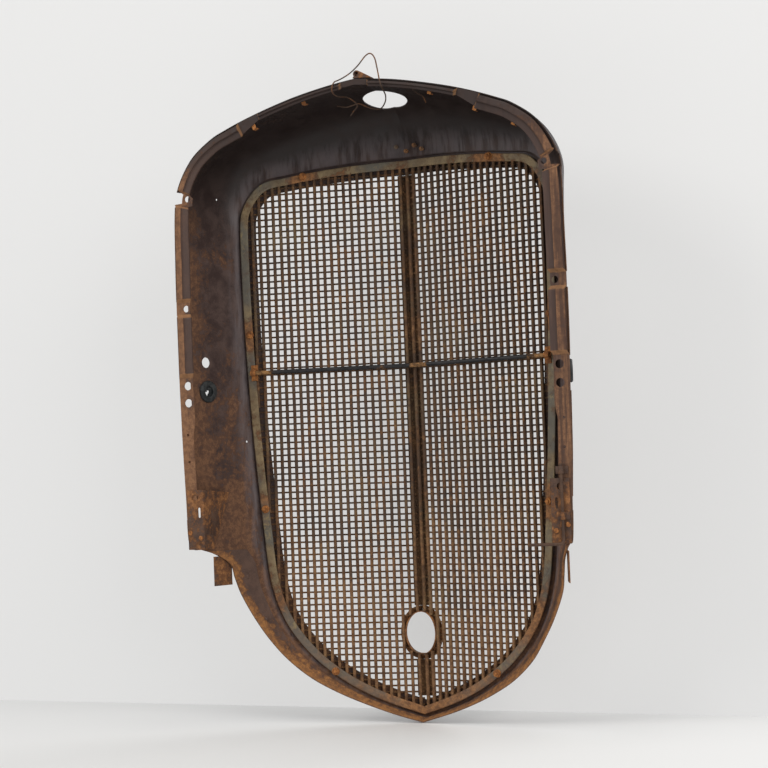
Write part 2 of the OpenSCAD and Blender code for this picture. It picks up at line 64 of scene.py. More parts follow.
# ---------------------------------------------------------------- Camera, floor and light
# The shell stands upright on a pale floor in front of a pale wall, seen from behind and
# a little to the right. The wall is there for the camera alone, so light passes it.
lens_mm = 84.95
camera_place = Vector((1.0691, -2.3405, -0.1062))
camera_turn = (92.354, 2.275, 24.065)
camera_data = bpy.data.cameras.new("camera")
camera_data.lens = lens_mm
camera_data.sensor_width = 36
camera = bpy.data.objects.new("camera", camera_data)
camera.location = camera_place
camera.rotation_euler = [math.radians(a) for a in camera_turn]
bpy.context.collection.objects.link(camera)
bpy.context.scene.camera = camera
bpy.context.scene.view_settings.view_transform = "Standard"

pale_paint = bpy.data.materials.new("pale_paint")
pale_paint.use_nodes = True
pale_shader = pale_paint.node_tree.nodes["Principled BSDF"]
pale_shader.inputs["Base Color"].default_value = (0.80, 0.80, 0.79, 1)
pale_shader.inputs["Roughness"].default_value = 0.8


def stage_plane(name, corners, material):
    data = bpy.data.meshes.new(name)
    data.from_pydata(corners, [], [(0, 1, 2, 3)])
    data.materials.append(material)
    plane = bpy.data.objects.new(name, data)
    bpy.context.collection.objects.link(plane)
    return plane


floor_z = cad_low.z - 0.0005
floor_reach = 9
stage_plane("floor", [(x * floor_reach, y * floor_reach, floor_z) for x, y in ((-1, -1), (1, -1), (1, 1), (-1, 1))],
            pale_paint)

wall_y = cad_high.y + 0.12
wall_paint = pale_paint.copy()
wall_paint.name = "wall_paint"
wall_nodes = wall_paint.node_tree
wall_shader = wall_nodes.nodes["Principled BSDF"]
wall_shader.inputs["Base Color"].default_value = (0.30, 0.30, 0.30, 1)
wall_shader.inputs["Emission Color"].default_value = (1.0, 1.0, 0.99, 1)
wall_shader.inputs["Emission Strength"].default_value = 0.46
from_behind = wall_nodes.nodes.new("ShaderNodeNewGeometry")
see_through = wall_nodes.nodes.new("ShaderNodeBsdfTransparent")
one_sided = wall_nodes.nodes.new("ShaderNodeMixShader")
wall_nodes.links.new(from_behind.outputs["Backfacing"], one_sided.inputs["Fac"])
wall_nodes.links.new(wall_shader.outputs[0], one_sided.inputs[1])
wall_nodes.links.new(see_through.outputs[0], one_sided.inputs[2])
wall_nodes.links.new(one_sided.outputs[0], wall_nodes.nodes["Material Output"].inputs["Surface"])
wall = stage_plane("wall", [(x, wall_y, z) for x, z in ((-3, floor_z), (3, floor_z), (3, 2.5), (-3, 2.5))], wall_paint)
wall.visible_diffuse = False
wall.visible_glossy = False
wall.visible_transmission = False
wall.visible_shadow = False

world = bpy.data.worlds.new("studio")
bpy.context.scene.world = world
world.use_nodes = True
sky = world.node_tree.nodes["Background"]
sky.inputs["Color"].default_value = (0.86, 0.88, 0.91, 1)
sky.inputs["Strength"].default_value = 0.42


def soft_light(name, place, aim, size, power, colour):
    data = bpy.data.lights.new(name, "AREA")
    data.shape = "RECTANGLE"
    data.size, data.size_y = size
    data.energy = power
    data.color = colour
    light = bpy.data.objects.new(name, data)
    light.location = place
    light.rotation_euler = (Vector(aim) - Vector(place)).to_track_quat("-Z", "Y").to_euler()
    bpy.context.collection.objects.link(light)


soft_light("window", (-2.4, -2.8, 2.1), (0, 0, -0.05), (1.8, 1.8), 72, (1.0, 0.98, 0.95))
soft_light("right_fill", (2.6, -1.8, 1.3), (-0.2, 0.1, 0), (1.8, 1.8), 55, (1.0, 0.98, 0.96))
soft_light("ceiling", (0.3, -0.5, 2.4), (0, 0.1, 0), (2.0, 1.4), 20, (1.0, 0.97, 0.93))
soft_light("front_fill", (1.6, 2.4, 1.0), (0, 0.1, 0), (1.6, 1.6), 30, (1.0, 1.0, 1.0))

# ---------------------------------------------------------------- Shell
# The surround is one deep stamping of mild steel, painted dark brown-black inside. Its
# flat seat carries the mesh, a crease turns it back, and its walls run out to the rear rim.
v_half = math.radians(12.65)
ridge_y = 167
mesh_depth = 7
sheet_t = 1.5
seat_in = 9
seat_out = 17
seat_y = mesh_depth / math.cos(v_half)
rim_top = 437.5
rim_half_w = 305

crown = [((x, sheet_t, rim_top - 0.09 * x - 0.0007 * x * x), (x * 0.83, 330 - 0.00027 * x * x))
         for x in (0, 45, 90, 135, 175, 212)]
shoulders = [((182 + 121 * math.cos(a), sheet_t, 268 + 121 * math.sin(a)),
              (178 + 62 * math.cos(a), 258 + 62 * math.sin(a)))
             for a in map(math.radians, (62, 42, 20, 0))]
sides = [((rim_half_w - 7 * ((z - 110) / 320) ** 2, sheet_t, z), (240.5 - 21.5 * ((240 - z) / 462) ** 2, z))
         for z in (190, 110, 20, -70, -150, -222)]
skirt = [((288, 18, -231), (218.5, -232)), ((277, 39, -239), (217.5, -243)), ((264, 63, -256), (216, -258)),
         ((260, 69, -277), (214, -274)), ((254, 77, -303), (211, -290)), ((237, 86, -340), (204, -317)),
         ((217, 94, -373), (192, -345)), ((194, 105, -403), (173, -373)), ((162, 116, -431), (147, -401)),
         ((125, 127, -453), (115, -426)), ((86, 138, -471), (79, -447)), ((43, 148, -487), (40, -464)),
         ((0, 158, -500), (0, -478))]
outline = crown + shoulders + sides + skirt
last = len(outline) - 1
side_end = len(crown) + len(shoulders) + len(sides) - 1


def curve_at(points, u):
    """The place at u on a smooth curve through points, where each whole number is a point."""
    end = len(points) - 1
    i = min(end - 1, int(u))
    t = u - i
    a, b, c, d = (np.array(points[max(0, min(end, i + k))], float) for k in (-1, 0, 1, 2))
    return 0.5 * (2 * b + (c - a) * t + (2 * a - 5 * b + 4 * c - d) * t * t + (3 * b - a - 3 * c + d) * t ** 3)


def on_outline(u, which):
    p = curve_at([pair[which] for pair in outline], u)
    if u <= 0 or u >= last:
        p[0] = 0
    return p


def rim_at(u):
    return on_outline(u, 0)


def edge_at(u):
    return on_outline(u, 1)


def out_at(u):
    if u <= 0 or u >= last:
        return np.array((0.0, 1.0 if u <= 0 else -1.0))
    r, e = rim_at(u), edge_at(u)
    n = np.array((r[0] - e[0], r[2] - e[1]))
    return n / np.linalg.norm(n)


def seat_point(u, off, back):
    e = edge_at(u) + out_at(u) * off
    return np.array((e[0], ridge_y - e[0] * math.tan(v_half) + seat_y - back, e[1]))


def blend_of(a, b, t):
    return a + (b - a) * t


seat_steps = (-seat_in, -seat_in + 1.2, -2, 4, 9, 12, seat_out - 3, seat_out - 1.2)
wall_steps = [0, 0.015, 0.035] + [k / 24 for k in range(2, 25)]


def shell_section(u):
    r, top = rim_at(u), max(0, out_at(u)[1])
    crease = seat_point(u, seat_out, 1)
    level = np.array((r[0] - crease[0], 0, r[2] - crease[2]))
    depth = np.array((0, crease[1] - r[1], 0))
    b1 = crease + blend_of(0.5, 0.97, top) * level - blend_of(0.25, -0.01, top) * depth
    b2 = r - blend_of(0.42, 0.05, top) * level + blend_of(0.4, 0.7, top) * depth
    wall = [crease * (1 - t) ** 3 + 3 * b1 * t * (1 - t) ** 2 + 3 * b2 * t * t * (1 - t) + r * t ** 3
            for t in wall_steps]
    return [seat_point(u, off, 0) for off in seat_steps] + wall


def outward(grid):
    a = np.gradient(grid, axis=0)
    b = np.gradient(grid, axis=1)
    n = np.cross(b, a)
    n[np.abs(grid[..., 0]) < 0.01, 0] = 0
    n[:, -1, 1] = 0
    return n / np.linalg.norm(n, axis=2, keepdims=True)


def dents(grid, size, depth):
    """Shallow hand-made unevenness of a sheet, from 0 to -depth."""
    shift = np.array([[noise.noise(Vector(p) / size) for p in row] for row in grid])
    return (np.clip(shift, -0.8, 0.8) - 0.8) / 1.6 * depth


def sheet_faces(rows, width):
    """The faces of a closed sheet: a grid of rows of width points, the same grid again behind it, and its rim."""
    n = rows * width
    faces = []
    for i in range(rows - 1):
        first, after = i * width, (i + 1) * width
        for a in range(first, after - 1):
            faces.append((a, a + 1, a + width + 1, a + width))
            faces.append((n + a, n + a + width, n + a + width + 1, n + a + 1))
        faces.append((first, after, n + after, n + first))
        faces.append((after - 1, n + after - 1, n + after + width - 1, after + width - 1))
    for j in range(width - 1):
        end = n - width + j
        faces.append((j, n + j, n + j + 1, j + 1))
        faces.append((end, end + 1, n + end + 1, n + end))
    return faces


def new_piece(name, points, faces, side=1, marks=None):
    """A mesh in metres from points in mm. side -1 mirrors it; marks are values kept at its points."""
    points = np.array(points, float).reshape(-1, 3) * (side * mm, mm, mm)
    data = bpy.data.meshes.new(name)
    data.from_pydata([tuple(p) for p in points], [], [f if side > 0 else tuple(reversed(f)) for f in faces])
    for mark, values in (marks or {}).items():
        data.attributes.new(mark, "FLOAT", "POINT").data.foreach_set("value", np.array(values, np.float32).ravel())
    piece = bpy.data.objects.new(name, data)
    bpy.context.collection.objects.link(piece)
    return piece


def shade(piece, angle=38):
    piece.data.polygons.foreach_set("use_smooth", [True] * len(piece.data.polygons))
    piece.data.set_sharp_from_angle(angle=math.radians(angle))
    piece.data.update()


def dress(piece, material):
    piece.data.materials.clear()
    piece.data.materials.append(material)


def applied(piece):
    """Replaces a piece's mesh by what its modifiers make of it."""
    shape = piece.evaluated_get(bpy.context.evaluated_depsgraph_get())
    data = bpy.data.meshes.new_from_object(shape)
    piece.modifiers.clear()
    piece.data = data


def drill(piece, holes, notches=()):
    """Cuts round holes (a centre and a direction in mm, a radius and a length) and box notches (two corners)."""
    tool = bmesh.new()
    for low, high in notches:
        low, high = Vector(low) * mm, Vector(high) * mm
        bmesh.ops.create_cube(tool, size=1, matrix=Matrix.Translation((low + high) / 2)
                              @ Matrix.Diagonal((*(high - low), 1)))
    for centre, direction, radius, length in holes:
        turn = Vector(direction).to_track_quat("Z", "Y").to_matrix().to_4x4()
        bmesh.ops.create_cone(tool, cap_ends=True, segments=40, radius1=radius * mm, radius2=radius * mm,
                              depth=length * mm, matrix=Matrix.Translation(Vector(centre) * mm) @ turn)
    data = bpy.data.meshes.new("drill")
    tool.to_mesh(data)
    tool.free()
    cutter = bpy.data.objects.new("drill", data)
    bpy.context.collection.objects.link(cutter)
    known = kdtree.KDTree(len(piece.data.vertices))
    for v in piece.data.vertices:
        known.insert(v.co, v.index)
    known.balance()
    marks = {a.name: np.array([d.value for d in a.data]) for a in piece.data.attributes
             if a.data_type == "FLOAT" and a.domain == "POINT"}
    cut = piece.modifiers.new("holes", "BOOLEAN")
    cut.object = cutter
    cut.solver = "EXACT"
    applied(piece)
    bpy.data.objects.remove(cutter)
    nearest = [known.find(v.co)[1] for v in piece.data.vertices]
    for mark, values in marks.items():
        kept = piece.data.attributes.get(mark) or piece.data.attributes.new(mark, "FLOAT", "POINT")
        kept.data.foreach_set("value", values[nearest].astype(np.float32))


def feed(tree, kind, inputs=None, **settings):
    """A shader node with its settings, its inputs set or linked."""
    made = tree.nodes.new(kind)
    for key, value in settings.items():
        setattr(made, key, value)
    for key, value in (inputs or {}).items():
        if isinstance(value, bpy.types.NodeSocket):
            tree.links.new(value, made.inputs[key])
        else:
            made.inputs[key].default_value = value
    return made


def part_place(tree):
    """Places on the part, in metres."""
    return tree.nodes.new("ShaderNodeTexCoord").outputs["Object"]


def along(tree, axis):
    return feed(tree, "ShaderNodeSeparateXYZ", {0: part_place(tree)}).outputs[axis]


def maths(tree, operation, a, b=0.0):
    return feed(tree, "ShaderNodeMath", {0: a, 1: b}, operation=operation).outputs[0]


def ramped(tree, value, low, high, out_low=0.0, out_high=1.0):
    """Value's smooth way from out_low, at low, to out_high, at high."""
    return feed(tree, "ShaderNodeMapRange", {"Value": value, "From Min": low, "From Max": high, "To Min": out_low,
                                             "To Max": out_high}, interpolation_type="SMOOTHSTEP").outputs["Result"]


def mixed(tree, share, a, b):
    """Colour a, turning to colour b as share goes from 0 to 1."""
    a, b = (c if isinstance(c, bpy.types.NodeSocket) else (*c, 1) for c in (a, b))
    return feed(tree, "ShaderNodeMix", {0: share, 6: a, 7: b}, data_type="RGBA").outputs[2]


def cloud(tree, place, size, detail=5, rough=0.6, bend=0.0):
    """Noise whose lumps are about size mm across."""
    return feed(tree, "ShaderNodeTexNoise", {"Vector": place, "Scale": 1000 / size, "Detail": detail,
                                             "Roughness": rough, "Distortion": bend}).outputs["Fac"]


def streaks(tree, squash, size):
    """Noise drawn out up and down: its lumps are about size mm across, and 1 / squash times as tall."""
    return cloud(tree, feed(tree, "ShaderNodeMapping", {"Vector": part_place(tree), "Scale": (1, 1, squash)}).outputs[0],
                 size, 4)


# Old paint over rusting steel: patches of rust grow where Push is high, speckled at their
# borders, and the paint between them is blotched and dusty.
patina = bpy.data.node_groups.new("patina", "ShaderNodeTree")
for name in ("Paint", "Worn Paint", "Dark Rust", "Bright Rust"):
    patina.interface.new_socket(name, in_out="INPUT", socket_type="NodeSocketColor")
for name in ("Rust", "Push", "Gloss"):
    patina.interface.new_socket(name, in_out="INPUT", socket_type="NodeSocketFloat")
patina.interface.new_socket("Color", in_out="OUTPUT", socket_type="NodeSocketColor")
for name in ("Roughness", "Height"):
    patina.interface.new_socket(name, in_out="OUTPUT", socket_type="NodeSocketFloat")
given = patina.nodes.new("NodeGroupInput").outputs
where = part_place(patina)
patches = cloud(patina, where, 55, 6, 0.65, 0.6)
spots = cloud(patina, where, 7, 4)
grain = cloud(patina, where, 1.6, 3)
blotch = cloud(patina, where, 24, 5, 0.6, 0.3)


def weighed(tree, *shares):
    """The sum of values, each times its weight."""
    total = 0.0
    for value, weight in shares:
        total = feed(tree, "ShaderNodeMath", {0: value, 1: weight, 2: total}, operation="MULTIPLY_ADD").outputs[0]
    return total


field = weighed(patina, (patches, 0.55), (spots, 0.30), (grain, 0.15), (given["Push"], 0.3), (given["Rust"], 0.56))
over = maths(patina, "SUBTRACT", field, 0.78)
rusted = ramped(patina, over, -0.035, 0.05)
bloom = ramped(patina, over, -0.02, 0.16)
brightness = maths(patina, "MULTIPLY", bloom, ramped(patina, spots, 0.38, 0.62, 0.35, 1.0))
brightness = maths(patina, "MULTIPLY", brightness, ramped(patina, grain, 0.3, 0.7, 0.55, 1.25))
rust_colour = mixed(patina, brightness, given["Dark Rust"], given["Bright Rust"])
wear = ramped(patina, weighed(patina, (blotch, 0.7), (grain, 0.3)), 0.4, 0.62)
paint_colour = mixed(patina, wear, given["Paint"], given["Worn Paint"])
paint_rough = maths(patina, "ADD", given["Gloss"], ramped(patina, blotch, 0.35, 0.65, -0.06, 0.12))
rust_rougher = maths(patina, "MULTIPLY", rusted, maths(patina, "SUBTRACT", 0.92, paint_rough))
scale = maths(patina, "ADD", 0.35, weighed(patina, (grain, 0.5), (spots, 0.6)))
result = feed(patina, "NodeGroupOutput", {"Color": mixed(patina, rusted, paint_colour, rust_colour),
                                          "Roughness": maths(patina, "ADD", paint_rough, rust_rougher),
                                          "Height": weighed(patina, (scale, rusted), (blotch, 0.12))})


def aged_metal(name, paint, worn, dark, bright, rust, gloss, push=None, tint=None, bump=0.35):
    """A material with the patina group. push(tree) drives rust; tint(tree, colour) shades the result."""
    material = bpy.data.materials.new(name)
    material.use_nodes = True
    tree = material.node_tree
    shader = tree.nodes["Principled BSDF"]
    colours = {"Paint": paint, "Worn Paint": worn, "Dark Rust": dark, "Bright Rust": bright}
    layer = feed(tree, "ShaderNodeGroup", node_tree=patina)
    for key, colour in colours.items():
        layer.inputs[key].default_value = (*colour, 1)
    layer.inputs["Rust"].default_value = rust
    layer.inputs["Gloss"].default_value = gloss
    if push:
        tree.links.new(push(tree), layer.inputs["Push"])
    colour = layer.outputs["Color"]
    tree.links.new(tint(tree, colour) if tint else colour, shader.inputs["Base Color"])
    tree.links.new(layer.outputs["Roughness"], shader.inputs["Roughness"])
    height = feed(tree, "ShaderNodeBump", {"Height": layer.outputs["Height"], "Strength": bump, "Distance": 0.0009})
    tree.links.new(height.outputs["Normal"], shader.inputs["Normal"])
    shader.inputs["Specular IOR Level"].default_value = 0.28
    return material


def mark(tree, name):
    return feed(tree, "ShaderNodeAttribute", attribute_name=name).outputs["Fac"]


def shell_push(tree):
    across = mark(tree, "across")
    near_rim = ramped(tree, across, 0.62, 1.0, 0.0, 0.55)
    low = ramped(tree, along(tree, "Z"), 0.12, -0.42, 0.0, 0.62)
    high = ramped(tree, along(tree, "Z"), 0.22, 0.34, 0.0, -0.35)
    roll = ramped(tree, across, 0.30, 0.38, -0.3, 0.0)
    return maths(tree, "ADD", maths(tree, "ADD", near_rim, low), maths(tree, "ADD", high, roll))


def shell_tint(tree, colour):
    """Painted shade darkens the header and the shoulders, whose inside faces down away from the light, and a pale
    painted sheen, broken into streaks, lies on the roll beside the seat.
    """
    across = mark(tree, "across")
    # Painted sheen: a pale blue-grey band along the roll beside the seat, broken into streaks.
    sheen = maths(tree, "MULTIPLY", ramped(tree, across, 0.245, 0.262), ramped(tree, across, 0.46, 0.30))
    share = maths(tree, "MULTIPLY", maths(tree, "MULTIPLY", sheen, 0.45), ramped(tree, streaks(tree, 0.12, 9), 0.35, 0.6))
    # Painted shade: the header and shoulders darken towards the top, where the inside faces down.
    painted_top_shade = maths(tree, "MULTIPLY", ramped(tree, along(tree, "Z"), 0.20, 0.36, 0.0, 0.85),
                  ramped(tree, across, 0.27, 0.40, 0.25, 1.0))
    return mixed(tree, share, mixed(tree, painted_top_shade, colour, (0.012, 0.008, 0.0075)), (0.17, 0.145, 0.15))


shell_paint = aged_metal("shell_paint", paint=(0.046, 0.029, 0.026), worn=(0.088, 0.056, 0.047),
                         dark=(0.082, 0.042, 0.028), bright=(0.17, 0.085, 0.045), rust=0.43, gloss=0.5,
                         push=shell_push, tint=shell_tint)

shell_rows = np.arange(0, last + 0.01, 1 / 7)
shell_rows[-1] = last
inner_face = np.array([shell_section(u) for u in shell_rows])
across = np.tile(np.linspace(0, 1, inner_face.shape[1]), (inner_face.shape[0], 1))
outward_of = outward(inner_face)
cap_hole = ((0, 109, 425), (0, 0, 1), 33, 60)


def wall_place(y, z):
    """The point of the side wall at y and z, and its outward direction, in mm."""
    row = min(np.arange(len(crown) + 1, side_end, 0.05), key=lambda u: abs(rim_at(u)[2] - z))
    wall = shell_section(row)[:len(seat_steps) - 1:-1]
    behind, x, ahead = (np.interp(y + d, [p[1] for p in wall], [p[0] for p in wall]) for d in (-8, 0, 8))
    turn = math.atan((behind - ahead) / 16)
    return np.array((x, y, z)), np.array((math.cos(turn), math.sin(turn), 0))


grommet_place, grommet_way = wall_place(49, 5)
small_place, small_way = wall_place(49, 49)
pin_holes = [wall_place(86, 300), wall_place(110, -72)]
# Low, high and deep: behind each mounting hole the wall is cut away.
wall_notches = [(-24, 24, 20), (116.5, 138.5, 22), (281, 303, 28), (-186, -167, 46)]
for side, word in ((1, "right"), (-1, "left")):
    uneven = dents(inner_face * (side, 1, 1), 70, 0.9)[..., None]
    face_in = inner_face + outward_of * uneven
    face_out = face_in + outward_of * sheet_t
    face_in[0, :, 0] = face_in[-1, :, 0] = face_out[0, :, 0] = face_out[-1, :, 0] = 0
    shell = new_piece("shell_skin_" + word, np.concatenate((face_in.reshape(-1, 3), face_out.reshape(-1, 3))),
                      sheet_faces(*inner_face.shape[:2]), side, {"across": np.concatenate((across, across))})
    holes = [cap_hole, (grommet_place, grommet_way, 13, 24), (small_place, small_way, 8, 24)]
    if side < 0:
        holes += [(place, way, 1.6, 24) for place, way in pin_holes]
    notch_x = sorted((270 * side, 330 * side))
    drill(shell, [((c[0] * side, c[1], c[2]), (d[0] * side, d[1], d[2]), r, l) for c, d, r, l in holes],
          [((notch_x[0], -1, low), (notch_x[1], deep, high)) for low, high, deep in wall_notches])
    shade(shell)
    dress(shell, shell_paint)
    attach(shell, "shell")
    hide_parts("shell_" + word)

# ---------------------------------------------------------------- Hood ledge
# A pressed flange is welded round the rear rim for the hood to lie on. Its raised rail
# stops at four flat recesses on each side, where the mounting holes are.
ledge_w = 23
rail_h = 7


def place_at_x(x):
    return np.interp(x, [k[0][0] for k in crown], range(len(crown)))


def place_at_z(z):
    return np.interp(-z, [-k[0][2] for k in outline[4:]], range(4, last + 1))


raised = [(place_at_x(26), place_at_x(155)), (place_at_x(192), place_at_z(309)),
          (place_at_z(278), place_at_z(142)), (place_at_z(113), place_at_z(31))]
ear = (place_at_z(303), place_at_z(286))
ear_in, ear_w = 12, 8
rail_in, low_in = 3, 4
ramp = 0.075
ledge_profile = ((1, 0.42), (0.985, 0.52), (0.95, 0.55), (0.86, 0.56), (0.74, 0.57), (0.62, 0.58), (0.56, 0.6),
                 (0.53, 0.66), (0.505, 0.84), (0.485, 0.95), (0.45, 1), (0.41, 0.98), (0.34, 0.90), (0.26, 0.82),
                 (0.18, 0.73), (0.1, 0.64), (0.04, 0.56), (0.015, 0.5), (0.0, 0.4))


def raised_share(u):
    return max(min(1, max(0, (u - a + ramp) / ramp), max(0, (b + ramp - u) / ramp)) for a, b in raised)


def at_ear(u):
    return min(1, max(0, (u - ear[0]) / 0.1 + 1), max(0, (ear[1] - u) / 0.1 + 1))


def ledge_width(u):
    narrow = max(0, out_at(u)[1]) * np.interp(u, (place_at_x(155), place_at_x(192)), (1, 0.25))
    low = np.interp(u, (place_at_z(-40), place_at_z(-60)), (0, low_in))
    return ledge_w - (ledge_w - 8) * narrow + at_ear(u) * (ear_w - ear_in) - low


def ledge_section(u):
    r, n, w, h = rim_at(u), out_at(u), ledge_width(u), raised_share(u)
    h = h * h * (3 - 2 * h)
    step = max(at_ear(u) * ear_in, h * rail_in)
    return [(r[0] - n[0] * (p * w + step), -h * q * rail_h, r[2] - n[1] * (p * w + step)) for p, q in ledge_profile]


record_mounts = {m["name"]: m for m in frame["record"]["mounts"]}


def hole_places(name):
    """Right-hand places, in mm, of a two- or four-hole mount on the ledge."""
    mount = record_mounts[name]
    x = mount["dims"]["spacing_x_mm"] / 2
    z = mount["pos_m"][2] / mm
    up = mount["dims"].get("spacing_y_mm", 0) / 2
    return [(x, z + s * up, mount["dims"]["hole_r_mm"]) for s in ((-1, 1) if up else (0,))]


ledge_holes = hole_places("radiator_frame_bolts") + hole_places("middle_holes") + hole_places("upper_holes")
lacing_holes = [(293, -60, 2), (292, -100, 2)]
ledge_rows = np.unique(np.concatenate((np.arange(0, side_end + 0.01, 0.045),
                                       [u + d * ramp for ends in raised for u in ends for d in (-1, -0.5, 0, 0.5, 1)],
                                       [u + d for u in ear for d in (-0.1, -0.05, 0, 0.05, 0.1)])))
ledge_rows = ledge_rows[(ledge_rows >= 0) & (ledge_rows <= side_end)]
ledge_grid = np.array([ledge_section(u) for u in ledge_rows])
pressed_rim = np.zeros(ledge_grid.shape[:2])
for x, z, radius in ledge_holes:
    away = np.hypot(ledge_grid[..., 0] - x, ledge_grid[..., 2] - z)
    pressed_rim = np.maximum(pressed_rim, np.exp(-((away - radius - 1.5) / 2.2) ** 2))
raised_rows = np.array([raised_share(u) for u in ledge_rows])
ledge_across = np.array([p for p, q in ledge_profile])
on_ramp = np.outer((raised_rows > 0.02) & (raised_rows < 0.98), np.ones(len(ledge_profile)))
on_fold = np.outer(np.ones(len(ledge_rows)), np.where(ledge_across > 0.485, 0, 1 - abs(ledge_across - 0.3)))
inside_rail = np.outer(raised_rows, ledge_across > 0.5)


def ledge_push(tree):
    low = ramped(tree, along(tree, "Z"), 0.05, -0.1, 0.0, 0.42)
    high = ramped(tree, along(tree, "Z"), 0.30, 0.42, 0.0, -0.8)
    worn = weighed(tree, (mark(tree, "ramp"), 0.9), (mark(tree, "fold"), 0.5), (mark(tree, "inside"), -0.35))
    return maths(tree, "ADD", maths(tree, "ADD", low, high), worn)


def ledge_tint(tree, colour):
    """The rail is darker towards the top and brighter orange on its ramps, and painted shade darkens its inner band,
    which faces away from the light.
    """
    # Painted shade: the inner band of the rail is darkened where it faces away from the light.
    inner = mixed(tree, maths(tree, "MULTIPLY", mark(tree, "inside"), 0.45), colour, (0.060, 0.036, 0.030))
    top = ramped(tree, along(tree, "Z"), 0.30, 0.40, 0.0, 0.8)
    right = maths(tree, "MULTIPLY", ramped(tree, along(tree, "X"), 0.1, 0.2, 0.0, 0.8),
                  ramped(tree, streaks(tree, 0.06, 7), 0.36, 0.62))
    darker = mixed(tree, top, mixed(tree, right, inner, (0.052, 0.030, 0.024)), (0.018, 0.011, 0.010))
    return mixed(tree, maths(tree, "MULTIPLY", mark(tree, "ramp"), 0.4), darker, (0.34, 0.17, 0.07))


ledge_paint = aged_metal("ledge_paint", paint=(0.062, 0.036, 0.027), worn=(0.105, 0.060, 0.042),
                         dark=(0.125, 0.062, 0.036), bright=(0.24, 0.122, 0.062), rust=0.50, gloss=0.6,
                         push=ledge_push, tint=ledge_tint)
for side, word in ((1, "right"), (-1, "left")):
    uneven = dents(ledge_grid * (side, 1, 1), 38, 0.5)
    rear = ledge_grid.copy()
    rear[..., 1] += uneven * 0.6 - pressed_rim * 0.9
    rear[..., 1] = np.clip(rear[..., 1], -rail_h, 0)
    front = rear + (0, sheet_t, 0)
    marks = {name: np.concatenate((values, values))
             for name, values in (("ramp", on_ramp), ("fold", on_fold), ("inside", inside_rail))}
    ledge = new_piece("hood_ledge_skin_" + word, np.concatenate((rear.reshape(-1, 3), front.reshape(-1, 3))),
                      sheet_faces(*ledge_grid.shape[:2]), side, marks)
    drill(ledge, [((x * side, 0, z), (0, 1, 0), radius, 30) for x, z, radius in ledge_holes + lacing_holes])
    shade(ledge, 30)
    dress(ledge, ledge_paint)
    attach(ledge, "shell")
    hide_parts("hood_ledge_" + word)

# ---------------------------------------------------------------- Wire mesh
# Each half of the V is straight upright wires with lighter cross wires on their front.
# Both have rusted brown, with rounded corners and pale dust in places.
column_pitch, row_pitch = 11.15, 9.525
upright_w, upright_d, cross_w, cross_h = 4.2, 5.0, 2.0, 2.6
columns, rows_up, rows_down, grip = 22, 35, 51, 6
crank_z, crank_a, crank_b = -368.5, 24, 31
hole_a, hole_b = crank_a + 1.6, crank_b + 1.6
edge_points = np.array([edge_at(u) for u in np.arange(0, last + 0.01, 0.25)])
upper_edge = edge_points[edge_points[:, 1] > 190]
lower_edge = edge_points[edge_points[:, 1] < 190][::-1]
corner_low, corner_high = 262, 316
side_edge = edge_points[edge_points[:, 1] < corner_low][::-1]


def on_mesh(s, y, z):
    """From a place on one mesh half, along it, forward of its rear face and up, to mm in the frame."""
    return (s * math.cos(v_half) + y * math.sin(v_half), ridge_y - s * math.sin(v_half) + y * math.cos(v_half), z)


def oval(s, a, b):
    return b * math.sqrt(1 - (s / a) ** 2) if abs(s) < a else 0


def bar(points, faces, path, wide, deep, corner):
    """A bar with rounded corners along path, a list of centres and its two cross directions."""
    start = len(points)
    outline_of = [(-wide / 2 + corner, -deep / 2), (wide / 2 - corner, -deep / 2), (wide / 2, -deep / 2 + corner),
                  (wide / 2, deep / 2 - corner), (wide / 2 - corner, deep / 2), (-wide / 2 + corner, deep / 2),
                  (-wide / 2, deep / 2 - corner), (-wide / 2, -deep / 2 + corner)]
    for centre, one, two in path:
        for a, b in outline_of:
            points.append(Vector(centre) + Vector(one) * a + Vector(two) * b)
    n = len(outline_of)
    for i in range(len(path) - 1):
        for k in range(n):
            a, b = start + i * n + k, start + i * n + (k + 1) % n
            faces.append((a, b, b + n, a + n))
    faces.append(tuple(start + k for k in reversed(range(n))))
    faces.append(tuple(start + (len(path) - 1) * n + k for k in range(n)))


def mesh_push(tree):
    return ramped(tree, along(tree, "Z"), -0.1, -0.45, 0.05, 0.50)


def dusted(tree, colour):
    """Pale dust lying on rusted wire in clouds."""
    place = part_place(tree)
    dust = maths(tree, "MULTIPLY", ramped(tree, cloud(tree, place, 90, 4), 0.45, 0.68),
                 ramped(tree, cloud(tree, place, 5, 3), 0.35, 0.65))
    return mixed(tree, maths(tree, "MULTIPLY", dust, 0.55), colour, (0.20, 0.135, 0.062))


